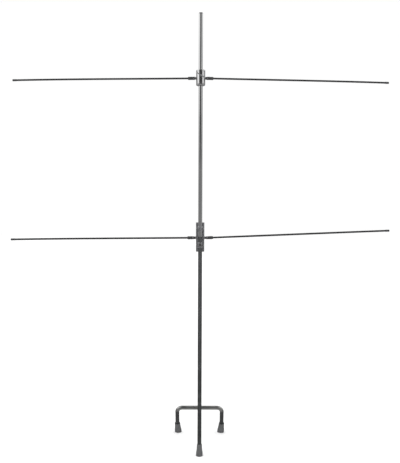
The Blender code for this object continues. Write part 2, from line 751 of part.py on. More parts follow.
def rubber_tip(name, holder, spot, tube_radius, length, wall, flare, lean_in):
    """A flared rubber tip with a steel washer in it; its lower end leans in by the distance lean_in."""
    top = tube_radius + gap + wall
    bottom = top + flare
    tip = turned(
        name + "_tip",
        [(0, 0), (top - 0.0015, 0), (top, -0.002), (top + (bottom - top) * 0.25, -length * 0.55),
         (bottom, tip_round * 2.5 - length), (bottom, -length - 0.01), (0, -length - 0.01)],
        tube_sides, holder, Vector(spot) + Vector((0, 0, length)),
        Matrix.Rotation(lean_in / length, 4, "Y"), (grey_rubber, 0.7, 0.0))
    cup = turned(
        name + "_cup", rod_outline(tube_radius + gap, sole_thick, length * 1.5), tube_sides, holder, spot,
        UPRIGHT)
    join(tip, cup)
    join(tip, floor_cut)
    seat = sole_thick + gap
    turned(
        name + "_washer", ring_outline(tube_radius - gap, tube_radius * 0.35, seat, seat + washer_thick),
        small_sides, holder, spot, UPRIGHT, (bright_steel, 0.4, 1.0))


rubber_tip("mast_foot", mast, (0, 0, 0), mast_radius, mast_tip_length, mast_tip_wall, mast_tip_flare, 0)
for side, label in ((-1, "left"), (1, "right")):
    rubber_tip(
        f"rear_foot_{label}", frame, (side * frame_half_width, 0, 0), frame_radius, rear_tip_length,
        rear_tip_wall, rear_tip_flare, side * rear_tip_lean_in)
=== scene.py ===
"""Looks of a floor-standing twin-dipole antenna: a leaning mast on three feet, and four folding rods."""
import json
from math import cos, pi, radians, sin

import bpy
from mathutils import Matrix, Vector


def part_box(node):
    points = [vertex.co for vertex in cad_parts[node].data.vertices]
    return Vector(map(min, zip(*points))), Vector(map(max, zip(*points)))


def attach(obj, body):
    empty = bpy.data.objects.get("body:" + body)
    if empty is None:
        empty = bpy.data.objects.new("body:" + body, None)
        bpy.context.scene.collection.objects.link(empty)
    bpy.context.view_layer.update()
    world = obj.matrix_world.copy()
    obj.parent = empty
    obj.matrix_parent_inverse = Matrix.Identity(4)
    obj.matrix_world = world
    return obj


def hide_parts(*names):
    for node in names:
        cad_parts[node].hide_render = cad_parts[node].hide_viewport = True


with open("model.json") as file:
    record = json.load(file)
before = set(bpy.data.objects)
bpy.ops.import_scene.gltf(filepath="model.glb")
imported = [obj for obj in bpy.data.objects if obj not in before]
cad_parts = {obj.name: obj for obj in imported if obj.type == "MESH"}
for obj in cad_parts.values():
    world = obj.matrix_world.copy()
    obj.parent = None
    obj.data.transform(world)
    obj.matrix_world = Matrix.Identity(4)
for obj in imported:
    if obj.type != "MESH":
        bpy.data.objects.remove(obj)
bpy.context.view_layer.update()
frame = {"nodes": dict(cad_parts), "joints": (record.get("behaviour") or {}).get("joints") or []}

# Camera: it stands in front of the antenna, a little above the middle of the mast,
# and looks slightly down, so that the mast fills the frame from tip to foot.
view_distance = 3.3
view_height = 1.30
view_down = radians(4.37)
view_roll = radians(-0.21)
bpy.ops.object.camera_add(
    location=(0, -view_distance, view_height), rotation=(pi / 2 - view_down, view_roll, 0))
camera = bpy.context.object
camera.data.lens = 56.53
camera.data.sensor_width = 36
camera.data.shift_x = -0.0008
bpy.context.scene.camera = camera
bpy.context.scene.view_settings.view_transform = "Standard"

# Room: a plain pale floor under even white light, with one wide soft lamp overhead.
# Polished metal also mirrors dark flags beside the camera, which draw its dark stripes.


class Finish:
    """A value in a shader's nodes: sums on it add Math nodes, and node() adds any other node."""

    def __init__(self, tree, socket):
        self.tree = tree
        self.socket = socket

    def node(self, kind, sockets, output=0, stops=(), **settings):
        made = self.tree.nodes.new("ShaderNode" + kind)
        for name, value in settings.items():
            setattr(made, name, value)
        for (place, colour), stop in zip(stops, range(len(stops))):
            while len(made.color_ramp.elements) <= stop:
                made.color_ramp.elements.new(1.0)
            made.color_ramp.elements[stop].position = place
            made.color_ramp.elements[stop].color = (*colour, 1.0)
        for name, value in sockets.items():
            if isinstance(value, Finish):
                self.tree.links.new(value.socket, made.inputs[name])
            else:
                made.inputs[name].default_value = value
        return Finish(self.tree, made.outputs[output])

    def fade(self, low, high, start=0.0, end=1.0):
        return self.node(
            "MapRange", {0: self, 1: low, 2: high, 3: start, 4: end}, interpolation_type="SMOOTHSTEP")

    def sum(self, operation, first, second):
        return self.node("Math", {0: first, 1: second}, operation=operation)

    def __add__(self, other):
        return self.sum("ADD", self, other)

    def __radd__(self, other):
        return self.sum("ADD", other, self)

    def __sub__(self, other):
        return self.sum("SUBTRACT", self, other)

    def __rsub__(self, other):
        return self.sum("SUBTRACT", other, self)

    def __mul__(self, other):
        return self.sum("MULTIPLY", self, other)

    def __rmul__(self, other):
        return self.sum("MULTIPLY", other, self)

    def __truediv__(self, other):
        return self.sum("DIVIDE", self, other)


studio = bpy.data.worlds.new("studio")
bpy.context.scene.world = studio
studio.use_nodes = True
tree = studio.node_tree
tree.nodes.clear()
way = Finish(tree, tree.nodes.new("ShaderNodeTexCoord").outputs["Generated"])
way_x = way.node("SeparateXYZ", {0: way}, 0)
way_y = way.node("SeparateXYZ", {0: way}, 1)
way_up = way.node("SeparateXYZ", {0: way}, 2)
sideways = way_x * way_x / (way_x * way_x + way_y * way_y + 0.000001)
flag_dark = 0.06
wall_light = 1.30
wall_slope = 0.22
upper_wall = flag_dark + sideways.fade(0.36, 0.56) * (wall_light - flag_dark - wall_slope * way_x)
lower_dim = 0.24
slot_light = 0.45 * (1 - sideways.fade(0.004, 0.03))
edge_light = 0.4 * sideways.fade(0.80, 0.97)
lower_wall = lower_dim + slot_light + edge_light
near_floor = 0.15
far_floor = 0.50
low_part = far_floor + way_up.fade(-0.42, -0.24) * (near_floor - far_floor)
low_part = low_part + way_up.fade(-0.08, 0.02) * (lower_wall - low_part)
mirrored = low_part + way_up.fade(0.19, 0.285) * (upper_wall - low_part)
plain_room = tree.nodes.new("ShaderNodeBackground")
mirrored_room = mirrored.node("Background", {"Color": mirrored})
ray_kinds = tree.nodes.new("ShaderNodeLightPath").outputs
is_mirrored = Finish(tree, ray_kinds["Is Glossy Ray"])
is_seen = Finish(tree, ray_kinds["Is Camera Ray"])
plain_room.inputs["Color"].default_value = (1, 1, 1, 1)
room_strength = 1.26
seen_less = 0.25
tree.links.new((room_strength - seen_less * is_seen).socket, plain_room.inputs["Strength"])
room_light = is_mirrored.node(
    "MixShader", {0: is_mirrored, 1: Finish(tree, plain_room.outputs[0]), 2: mirrored_room})
room_out = tree.nodes.new("ShaderNodeOutputWorld")
tree.links.new(room_light.socket, room_out.inputs["Surface"])

bpy.ops.object.light_add(type="AREA", location=(-0.6, -0.8, 3.6))
lamp = bpy.context.object
lamp.data.shape = "DISK"
lamp.data.size = 3.0
lamp.data.energy = 20
lamp.visible_glossy = False

bpy.ops.object.select_all(action="DESELECT")
bpy.ops.mesh.primitive_plane_add(size=24)
floor = bpy.context.object
floor.name = "floor"
floor.visible_glossy = False


def start_finish(name, roughness, metallic):
    """A new material, its main shader, and the place on the piece that its patterns read."""
    made = bpy.data.materials.new(name)
    made.use_nodes = True
    shader = made.node_tree.nodes["Principled BSDF"]
    shader.inputs["Roughness"].default_value = roughness
    shader.inputs["Metallic"].default_value = metallic
    place = made.node_tree.nodes.new("ShaderNodeTexCoord").outputs["Object"]
    return made, shader, Finish(made.node_tree, place)


floor_paint, floor_shader, floor_place = start_finish("floor_paint", 0.9, 0.0)
floor_shader.inputs["Specular IOR Level"].default_value = 0.0
floor_tone = floor_place.node("TexNoise", {"Vector": floor_place, "Scale": 3.0})
floor_tone = floor_tone.node(
    "ValToRGB", {0: floor_tone}, stops=((0.2, (0.90, 0.90, 0.90)), (0.8, (0.915, 0.915, 0.915))))
floor_paint.node_tree.links.new(floor_tone.socket, floor_shader.inputs["Base Color"])
floor.data.materials.append(floor_paint)

# Mast: two drawn steel tubes of the same bore, end to end, with their ends deburred.
# The upper one is bright plated and the lower one has the dark finish of the stand.
gap = 0.0003
joints = {joint["name"]: joint for joint in frame["joints"]}
mast_up = Vector(joints["upper_mast_pull"]["axis"])
to_front = Vector(joints["clamp_pad_travel"]["axis"])
along_x = Vector((1, 0, 0))


def axes(x_way, y_way, z_way, spot=(0, 0, 0)):
    """The matrix of a frame with these three directions, at a spot."""
    turn = Matrix((x_way, y_way, z_way)).transposed().to_4x4()
    return Matrix.Translation(spot) @ turn


def reach(node, place):
    """The lowest and highest corners of a frame node, as seen in a tilted frame."""
    inverse = place.inverted()
    spots = [inverse @ corner.co for corner in frame["nodes"][node].data.vertices]
    low = Vector(min(spot[side] for spot in spots) for side in range(3))
    high = Vector(max(spot[side] for spot in spots) for side in range(3))
    return low, high


def turned(name, outline, sides):
    """A piece turned on Z, a disc extruded through (radius, height, offset) stations, or a closed ring."""
    closed = outline[0] == outline[-1]
    bpy.ops.object.select_all(action="DESELECT")
    bpy.ops.mesh.primitive_circle_add(
        vertices=sides, radius=outline[0][0], fill_type="NOTHING" if closed else "NGON", enter_editmode=True)
    stations = [(*station, 0.0)[:3] for station in outline]
    bpy.ops.transform.translate(value=(stations[0][2], 0, stations[0][1]))
    for (radius, height, offset), (next_radius, next_height, next_offset) in zip(stations, stations[1:]):
        step = (next_offset - offset, 0, next_height - height)
        bpy.ops.mesh.extrude_region_move(TRANSFORM_OT_translate={"value": step})
        grow = next_radius / radius
        bpy.ops.transform.resize(value=(grow, grow, 1), center_override=(next_offset, 0, next_height))
    bpy.ops.mesh.select_all(action="SELECT")
    bpy.ops.mesh.remove_doubles(threshold=0.000002)
    bpy.ops.mesh.normals_make_consistent(inside=False)
    bpy.ops.object.mode_set(mode="OBJECT")
    piece = bpy.context.object
    piece.name = name
    piece.data.name = name
    return piece


def smooth(piece, angle=32):
    """Smooth shading over all but the sharp edges."""
    bpy.ops.object.select_all(action="DESELECT")
    piece.select_set(True)
    bpy.context.view_layer.objects.active = piece
    bpy.ops.object.shade_smooth_by_angle(angle=radians(angle))


def seat(piece, place, material, slot, body, *nodes):
    """Puts a finished piece in its place, gives it its material, ties it to its body and hides the frame
    nodes it stands for; the slot argument is not used.
    """
    piece.data.transform(place)
    smooth(piece)
    piece.data.materials.clear()
    piece.data.materials.append(material)
    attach(piece, body)
    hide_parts(*nodes)
    return piece


def metal(
        name, low, high, roughness, patch=14.0, grain=900.0, depth=0.02, draw=0.05, spread=0.08,
        metallic=1.0):
    """A metal whose tone and gloss drift in soft patches, with a fine grain drawn out along the piece."""
    made, shader, place = start_finish(name, roughness, metallic)
    mapping = {"Vector": place, "Rotation": (radians(6), 0, 0), "Scale": (1, 1, draw)}
    leaning = place.node("Mapping", mapping, vector_type="POINT")
    patches = place.node("TexNoise", {"Vector": place, "Scale": patch, "Detail": 5.0, "Roughness": 0.6})
    lines = place.node("TexNoise", {"Vector": leaning, "Scale": grain, "Detail": 3.0, "Roughness": 0.55})
    tone = patches * 0.7 + lines * 0.3
    colour = tone.node("ValToRGB", {0: tone}, stops=((0.33, low), (0.66, high)))
    gloss = patches.fade(0.3, 0.7, roughness - spread / 2, roughness + spread / 2) + (lines - 0.5) * spread
    bump = lines.node("Bump", {"Height": lines, "Strength": 0.25, "Distance": depth * 0.001})
    links = made.node_tree.links
    links.new(colour.socket, shader.inputs["Base Color"])
    links.new(gloss.socket, shader.inputs["Roughness"])
    links.new(bump.socket, shader.inputs["Normal"])
    return made


upright = axes(along_x, -to_front, mast_up)
bright_tube = metal("bright_plated_tube", (0.47, 0.475, 0.48), (0.56, 0.56, 0.56), 0.07)
dark_tube = metal("dark_stand_finish", (0.20, 0.21, 0.215), (0.27, 0.275, 0.28), 0.22, spread=0.12)
tube_sides = 64
burr = 0.0005


def tube_outline(outer, inner, low, high):
    """The closed section of a tube with both rims deburred."""
    return [
        (inner, low), (outer - burr, low), (outer, low + burr), (outer, high - burr), (outer - burr, high),
        (inner, high), (inner, low)]


mast_wall = 0.0015
for label, finish, slot, body in (
        ("lower", dark_tube, "dark_tube", "base"), ("upper", bright_tube, "chromed_tube", "upper_mast")):
    node = label + "_mast_tube"
    low, high = reach(node, upright)
    tube = turned("mast_tube_" + label, tube_outline(high.x, high.x - mast_wall, low.z, high.z), tube_sides)
    seat(tube, upright, finish, slot, body, node)

# Mast end cap: a black moulded plug with a rounded head, pressed into the top of the upper tube.
# Its skirt fills the bore, and a gate mark is left in the middle of the head.


def moulded(name, low, high, roughness, grain=1600.0, depth=0.04, patch=30.0):
    """A moulded plastic or rubber, with a fine etched grain and soft changes of tone."""
    made, shader, place = start_finish(name, roughness, 0.0)
    patches = place.node("TexNoise", {"Vector": place, "Scale": patch, "Detail": 4.0})
    etched = place.node("TexNoise", {"Vector": place, "Scale": grain, "Detail": 2.0})
    tone = patches * 0.75 + etched * 0.25
    colour = tone.node("ValToRGB", {0: tone}, stops=((0.32, low), (0.68, high)))
    gloss = patches.fade(0.3, 0.7, roughness - 0.07, roughness + 0.07)
    bump = etched.node("Bump", {"Height": etched, "Strength": 0.3, "Distance": depth * 0.001})
    links = made.node_tree.links
    links.new(colour.socket, shader.inputs["Base Color"])
    links.new(gloss.socket, shader.inputs["Roughness"])
    links.new(bump.socket, shader.inputs["Normal"])
    return made


black_plastic = moulded("black_plastic", (0.028, 0.028, 0.030), (0.044, 0.044, 0.046), 0.42)
low, high = reach("mast_top_cap", upright)
cap_radius = high.x
plug_radius = cap_radius - mast_wall - 0.0002
head_low = high.z - 0.004
end_cap = turned("mast_end_cap", [
    (plug_radius - 0.001, low.z), (plug_radius, low.z + 0.001), (plug_radius, head_low),
    (cap_radius - 0.0003, head_low), (cap_radius, head_low + 0.0004), (cap_radius, head_low + 0.0018),
    (cap_radius - 0.0004, head_low + 0.0028), (cap_radius - 0.0013, head_low + 0.0036),
    (cap_radius - 0.0028, high.z), (cap_radius * 0.32, high.z), (cap_radius * 0.27, high.z - 0.0004)],
    tube_sides)
seat(end_cap, upright, black_plastic, "black_plastic", "upper_mast", "mast_top_cap")

# Inner steel: the spigot that lines up the two tubes, its cross pin, the stay's pins and the foot washers.
# They are plain turned steel and stay as the frame has them.
steel = metal("turned_steel", (0.42, 0.42, 0.425), (0.56, 0.56, 0.56), 0.28, patch=60.0, draw=0.4, depth=0.04)
brass = metal("turned_brass", (0.50, 0.36, 0.14), (0.64, 0.48, 0.21), 0.30, patch=80.0, draw=0.4, depth=0.03)


def keep(material, slot, *nodes):
    """Keeps frame nodes as they are, with a better material."""
    for node in nodes:
        for holder in frame["nodes"][node].material_slots:
            holder.material = material


keep(
    steel, "steel", "splice_spigot", "spigot_pin", "stay_pin_front", "stay_pin_rear", "mast_foot_washer",
    "rear_foot_left_washer", "rear_foot_right_washer")
keep(brass, "brass", "clamp_pad", "wing_screw_pad")

# Sliding collar: one piece of round alloy bar, bored and polished, with rounded rims and two turned grooves.
# It is drilled for the wing screw in front and for a lug on each side.
polished_alloy = metal(
    "polished_alloy", (0.50, 0.50, 0.505), (0.60, 0.60, 0.60), 0.10, patch=40.0, draw=8.0, grain=500.0)


def cut(piece, tool, operation="DIFFERENCE"):
    """Cuts a piece with a tool, or joins the tool to it, and clears the tool away."""
    step = piece.modifiers.new("cut", "BOOLEAN")
    step.operation = operation
    step.solver = "EXACT"
    step.object = tool
    bpy.context.view_layer.objects.active = piece
    bpy.ops.object.modifier_apply(modifier=step.name)
    bpy.data.objects.remove(tool)


def drill(piece, radius, low, high, place, sides=32):
    """A plain round hole from low to high along a tool's Z."""
    bit = turned("bit", [(radius, low), (radius, high)], sides)
    bit.data.transform(place)
    cut(piece, bit)


Z_TO_X = Matrix.Rotation(pi / 2, 4, "Y")
Z_TO_LEFT = Matrix.Rotation(-pi / 2, 4, "Y")
Z_TO_BACK = Matrix.Rotation(-pi / 2, 4, "X")
Z_TO_FRONT = Matrix.Rotation(pi / 2, 4, "X")

low, high = reach("upper_collar", upright)
collar_radius = high.x
bush_high = reach("collar_bush_top", upright)[1]
flange_seat = bush_high.x + gap
flange_deep = 0.0023
collar_bore = flange_seat - 0.0027
groove_in = 0.0007
groove_tall = 0.0011


def rim(radius, height, way):
    """A quarter-round rim, from the face to the side when way is 1, and back when it is -1."""
    bend = 0.0030
    steps = [pi / 2 * step / 6 for step in range(7)]
    points = [(radius - bend + bend * sin(a), height + way * (bend - bend * cos(a))) for a in steps]
    return points if way > 0 else points[::-1]


def groove(radius, height):
    """Four points of a shallow turned groove, going up."""
    return [
        (radius, height - groove_tall), (radius - groove_in, height - groove_tall / 3),
        (radius - groove_in, height + groove_tall / 3), (radius, height + groove_tall)]


collar = turned("sliding_collar", [
    (flange_seat, low.z), *rim(collar_radius, low.z, 1), *groove(collar_radius, low.z + 0.0075),
    *groove(collar_radius, high.z - 0.0075), *rim(collar_radius, high.z, -1), (flange_seat, high.z),
    (flange_seat, high.z - flange_deep), (collar_bore, high.z - flange_deep),
    (collar_bore, low.z + flange_deep), (flange_seat, low.z + flange_deep), (flange_seat, low.z)], 72)
wing_spot = upright.inverted() @ Vector(joints["wing_screw_turn"]["pos_m"])
bolt_hole = 0.0033
drill(collar, bolt_hole, 0.008, 0.03, Matrix.Translation((0, 0, wing_spot.z)) @ Z_TO_FRONT)
lug_spot = upright.inverted() @ Vector(joints["upper_left_fold"]["pos_m"])
shank_radius = 0.0040
for turn in (Z_TO_X, Z_TO_LEFT):
    drill(collar, shank_radius + gap, 0.0155, 0.03, Matrix.Translation((0, 0, lug_spot.z)) @ turn)
seat(collar, upright, polished_alloy, "polished_alloy", "upper_head", "upper_collar")

# Collar bushes: two flanged nylon sleeves pressed in from the ends of the collar.
# They run on the mast, so that the collar slides and turns without marking the plating.
grey_nylon = moulded("grey_nylon", (0.165, 0.165, 0.17), (0.22, 0.22, 0.225), 0.45, patch=60.0)
bush_radius = bush_high.x - 0.0027
bush_bore = bush_radius - 0.0042
flange = 0.002
for label, way in (("top", 1), ("bottom", -1)):
    node = "collar_bush_" + label
    low, high = reach(node, upright)
    end = high.z if way > 0 else low.z
    sleeve = high.z - low.z
    bush = turned("bush_" + label, [
        (bush_bore + 0.0004, 0), (bush_high.x - 0.0004, 0), (bush_high.x, -0.0004), (bush_high.x, -flange),
        (bush_radius, -flange), (bush_radius, 0.0005 - sleeve), (bush_radius - 0.0005, -sleeve),
        (bush_bore, -sleeve), (bush_bore, -0.0004), (bush_bore + 0.0004, 0)], 48)
    turn = Matrix.Identity(4) if way > 0 else Matrix.Rotation(pi, 4, "X")
    bush_place = upright @ Matrix.Translation((0, 0, end)) @ turn
    seat(bush, bush_place, grey_nylon, "grey_nylon", "collar_bushes", node)

# Wing screw: a forged steel thumb screw with two rounded wings on a conical hub, plated.
# It goes through the front of the collar and presses a brass pad on the mast.


def block(name, low, high, bevel=0.0, segments=3):
    """A block between two corners, its edges rounded by the bevel."""
    bpy.ops.object.select_all(action="DESELECT")
    bpy.ops.mesh.primitive_cube_add(size=1, enter_editmode=True)
    size = Vector(high) - Vector(low)
    bpy.ops.transform.resize(value=size, center_override=(0, 0, 0))
    bpy.ops.transform.translate(value=(Vector(high) + Vector(low)) / 2)
    if bevel:
        bpy.ops.mesh.bevel(offset=bevel, segments=segments, affect="EDGES")
    bpy.ops.object.mode_set(mode="OBJECT")
    piece = bpy.context.object
    piece.name = name
    piece.data.name = name
    return piece


def soften(piece, width, segments=2, angle=40):
    """Rounds every edge that is sharper than the angle."""
    step = piece.modifiers.new("soften", "BEVEL")
    step.width = width
    step.segments = segments
    step.limit_method = "ANGLE"
    step.angle_limit = radians(angle)
    step.use_clamp_overlap = True
    bpy.context.view_layer.objects.active = piece
    bpy.ops.object.modifier_apply(modifier=step.name)


screw_place = upright @ Matrix.Translation((0, 0, wing_spot.z)) @ Z_TO_FRONT
wing_turn = radians(-32)
wing_low = reach("wing_screw", screw_place)[0]
wing_seat = collar_radius + 0.0019
bolt_radius = 0.0030
hub_radius = 0.0055
hub_end = wing_seat + 0.0096
wing = turned("wing_screw_plated", [
    (0.0022, wing_low.z), (bolt_radius, wing_low.z + 0.0008), (bolt_radius, wing_seat),
    (hub_radius - 0.0006, wing_seat), (hub_radius, wing_seat + 0.0006), (hub_radius, wing_seat + 0.0022),
    (hub_radius * 0.82, wing_seat + 0.0060), (hub_radius * 0.72, hub_end - 0.0008),
    (hub_radius * 0.55, hub_end)], 40)
blade_half_long = 0.0103
blade_half_wide = 0.0045
blade_thick = 0.0034
blade_place = (
    Matrix.Translation((0.0128, 0, wing_seat + 0.0068)) @ Matrix.Rotation(radians(-13), 4, "Y")
    @ Matrix.Rotation(pi / 2, 4, "X") @ Matrix.Translation((0, 0, -blade_thick / 2)))
for side in (0, pi):
    bpy.ops.object.select_all(action="DESELECT")
    bpy.ops.mesh.primitive_circle_add(vertices=40, radius=1, fill_type="NGON", enter_editmode=True)
    bpy.ops.transform.resize(value=(blade_half_long, blade_half_wide, 1), center_override=(0, 0, 0))
    bpy.ops.mesh.extrude_region_move(TRANSFORM_OT_translate={"value": (0, 0, blade_thick)})
    bpy.ops.mesh.select_all(action="SELECT")
    bpy.ops.mesh.normals_make_consistent(inside=False)
    bpy.ops.object.mode_set(mode="OBJECT")
    blade = bpy.context.object
    soften(blade, 0.0011, 3)
    blade.data.transform(Matrix.Rotation(side, 4, "Z") @ blade_place)
    cut(wing, blade, "UNION")
wing.data.transform(Matrix.Rotation(wing_turn, 4, "Z"))
seat(wing, screw_place, steel, "steel", "wing_screw", "wing_screw")

# Splice bracket: a round-backed die-cast alloy body, open at the front, that holds the ends of both tubes.
# Its rims are rounded and its back is relieved between two ribs, and a lug is riveted in each side.
cast_alloy = metal(
    "cast_grey_alloy", (0.19, 0.194, 0.205), (0.35, 0.354, 0.365), 0.42, patch=70.0, grain=700.0,
    depth=0.20, draw=1.0, spread=0.16, metallic=0.75)
low, high = reach("splice_body", upright)
tube_seat = 0.0098
bracket_outer = high.x + 0.0001
bracket_front = low.y
bracket_tall = high.z - low.z
spin_past = radians(9)
bpy.ops.object.select_all(action="DESELECT")
bpy.ops.mesh.primitive_plane_add(size=1, enter_editmode=True)
bpy.ops.transform.resize(value=(bracket_outer - tube_seat, bracket_tall, 1), center_override=(0, 0, 0))
bpy.ops.transform.rotate(value=pi / 2, orient_axis="X", center_override=(0, 0, 0))
bpy.ops.transform.translate(value=((bracket_outer + tube_seat) / 2, 0, (low.z + high.z) / 2))
bpy.ops.transform.rotate(value=spin_past, orient_axis="Z", center_override=(0, 0, 0))
bpy.ops.mesh.spin(steps=48, angle=-(pi + 2 * spin_past), center=(0, 0, 0), axis=(0, 0, 1))
bpy.ops.mesh.select_all(action="SELECT")
bpy.ops.mesh.remove_doubles(threshold=0.000002)
bpy.ops.mesh.bisect(
    plane_co=(0, bracket_front, 0), plane_no=(0, 1, 0), use_fill=True, clear_inner=True, clear_outer=False)
bpy.ops.mesh.select_all(action="SELECT")
bpy.ops.mesh.normals_make_consistent(inside=False)
bpy.ops.object.mode_set(mode="OBJECT")
bracket = bpy.context.object
bracket.name = "splice_bracket"
bracket.data.name = "splice_bracket"
bracket_middle = (low.z + high.z) / 2
screw_x = 0.0148
screw_hole = 0.0021
band_heights = {}
for label in ("upper", "lower"):
    band_low, band_high = reach(label + "_band", upright)
    band_heights[label] = (band_low.z + band_high.z) / 2
    for way in (-1, 1):
        spot = Matrix.Translation((way * screw_x, 0, band_heights[label])) @ Z_TO_FRONT
        drill(bracket, screw_hole, -0.0083, 0.004, spot, 20)
lower_lug_spot = upright.inverted() @ Vector(joints["lower_left_fold"]["pos_m"])
for turn in (Z_TO_X, Z_TO_LEFT):
    drill(bracket, shank_radius + gap, bracket_outer - 0.0058, 0.03,
          Matrix.Translation((0, 0, lower_lug_spot.z)) @ turn, 28)
relief_floor = bracket_outer - 0.0012
relief_half_tall = 0.014
for height in (-0.034, 0.034):
    relief = turned("relief", [
        (relief_floor, -relief_half_tall), (bracket_outer + 0.004, -0.0155), (bracket_outer + 0.004, 0.0155),
        (relief_floor, relief_half_tall), (relief_floor, -relief_half_tall)], 64)
    keep_back = block("keep_back", (-0.03, 0.0060, -0.02), (0.03, 0.03, 0.02))
    cut(relief, keep_back, "INTERSECT")
    relief.data.transform(Matrix.Translation((0, 0, bracket_middle + height)))
    cut(bracket, relief)
soften(bracket, 0.0005, 2, 50)
seat(bracket, upright, cast_alloy, "grey_alloy", "lower_head", "splice_body")

# Bands: two bent straps that close the front of the bracket over the tubes, each on two socket screws.
# The lower one has a round boss in the middle, threaded for the clamp screw.
band_thick = 0.0025
band_back = 0.0023
band_outer = 0.0124
band_flange = bracket_outer - 0.0005
screw_head = 0.0035
boss_radius = 0.0085
boss_reach = 0.0165
for label in ("upper", "lower"):
    low, high = reach(label + "_band", upright)
    half_tall = (high.z - low.z) / 2
    height = band_heights[label]
    strap = turned("strap_blank", [
        (tube_seat, -half_tall), (band_outer, -half_tall), (band_outer, half_tall), (tube_seat, half_tall),
        (tube_seat, -half_tall)], 72)
    front_half = block("front_half", (-0.02, -0.02, -0.03), (0.02, -band_back, 0.03))
    cut(strap, front_half, "INTERSECT")
    for way in (-1, 1):
        inner_x, outer_x = sorted((way * 0.0097, way * band_flange))
        ear = block("ear", (inner_x, -band_back - band_thick, -half_tall), (outer_x, -band_back, half_tall))
        cut(strap, ear, "UNION")
    if label == "lower":
        boss = turned("boss", [
            (boss_radius, 0.0108), (boss_radius, boss_reach - 0.0008),
            (boss_radius - 0.0008, boss_reach)], 48)
        boss.data.transform(Z_TO_FRONT)
        cut(strap, boss, "UNION")
        drill(strap, bolt_hole, 0.004, 0.03, Z_TO_FRONT, 32)
    for way in (-1, 1):
        drill(strap, screw_hole, 0, 0.009, Matrix.Translation((way * screw_x, 0, 0)) @ Z_TO_FRONT, 20)
    soften(strap, 0.0004, 2, 50)
    strap.name = label + "_strap"
    strap.data.name = label + "_strap"
    strap_place = upright @ Matrix.Translation((0, 0, height))
    seat(strap, strap_place, cast_alloy, "grey_alloy", "lower_head", label + "_band")

head_back = band_back + band_thick + gap
head_front = head_back + 0.0024
socket_screw = turned("socket_screw", [
    (0.0012, -0.008), (0.0018, -0.0074), (0.0018, head_back), (screw_head - 0.0003, head_back),
    (screw_head, head_back + 0.0003), (screw_head, head_front - 0.0006), (screw_head - 0.0006, head_front),
    (0.0021, head_front)], 32)
drill(socket_screw, 0.0019, head_front - 0.0015, head_front + 0.002, Matrix.Identity(4), 6)
for label in ("upper", "lower"):
    for way, side in ((-1, "left"), (1, "right")):
        screw = socket_screw.copy()
        screw.data = socket_screw.data.copy()
        screw.name = f"{label}_strap_screw_{side}"
        screw.data.name = screw.name
        bpy.context.scene.collection.objects.link(screw)
        spot = Matrix.Translation((way * screw_x, 0, band_heights[label])) @ Z_TO_FRONT
        seat(screw, upright @ spot, steel, "steel", "lower_head", f"{label}_band_screw_{side}")
bpy.data.objects.remove(socket_screw)

# Clamp screw: a steel screw in a black moulded knob with ten flutes and a bright pressed ring on its face.
# It is threaded through the boss of the lower band and presses a brass pad on the lower tube.
clamp_place = upright @ Matrix.Translation((0, 0, band_heights["lower"])) @ Z_TO_FRONT
knob_low, knob_high = reach("clamp_knob", clamp_place)
stem_low, stem_high = reach("clamp_screw", clamp_place)
knob_radius = 0.0100
flutes = 10
flute_deep = 0.0006
bpy.ops.object.select_all(action="DESELECT")
bpy.ops.mesh.primitive_circle_add(
    vertices=flutes * 8, radius=knob_radius, fill_type="NGON", enter_editmode=True)
bpy.ops.object.mode_set(mode="OBJECT")
knob = bpy.context.object
knob.name = "clamp_knob_fluted"
knob.data.name = "clamp_knob_fluted"
for corner in knob.data.vertices:
    turn = corner.index * 2 * pi / (flutes * 8)
    corner.co *= 1 - flute_deep / knob_radius * (1 - cos(flutes * turn))
bpy.ops.object.mode_set(mode="EDIT")
bpy.ops.mesh.select_all(action="SELECT")
bpy.ops.transform.translate(value=(0, 0, knob_low.z))
bpy.ops.transform.resize(value=(0.90, 0.90, 1), center_override=(0, 0, knob_low.z))
knob_tall = knob_high.z - knob_low.z
for grow, rise in (
        (1.08, 0.0008), (1.029, 0.0008), (1.0, knob_tall - 0.0034), (0.975, 0.0010), (0.93, 0.0008),
        (0.66, 0.0), (0.97, -0.0012)):
    bpy.ops.mesh.extrude_region_move(TRANSFORM_OT_translate={"value": (0, 0, rise)})
    bpy.ops.transform.resize(value=(grow, grow, 1), center_override=(0, 0, 0))
bpy.ops.mesh.select_all(action="SELECT")
bpy.ops.mesh.normals_make_consistent(inside=False)
bpy.ops.object.mode_set(mode="OBJECT")
socket_end = stem_high.z + gap
drill(knob, bolt_hole, knob_low.z - 0.002, socket_end, Matrix.Identity(4), 32)
seat(knob, clamp_place, black_plastic, "black_plastic", "clamp_knob", "clamp_knob")

ring_low = knob_high.z - 0.0006
ring = turned("clamp_knob_ring", [
    (0.0061, ring_low), (0.0080, ring_low), (0.0080, ring_low + 0.0006), (0.0077, ring_low + 0.0010),
    (0.0064, ring_low + 0.0010), (0.0061, ring_low + 0.0006), (0.0061, ring_low)], 64)
ring.data.transform(clamp_place)
smooth(ring)
ring.data.materials.append(steel)
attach(ring, "clamp_knob")

stem = turned("clamp_screw_stem", [
    (0.0022, stem_low.z), (bolt_radius, stem_low.z + 0.0008), (bolt_radius, stem_high.z - 0.0004),
    (0.0026, stem_high.z)], 32)
seat(stem, clamp_place, steel, "steel", "clamp_knob", "clamp_screw")

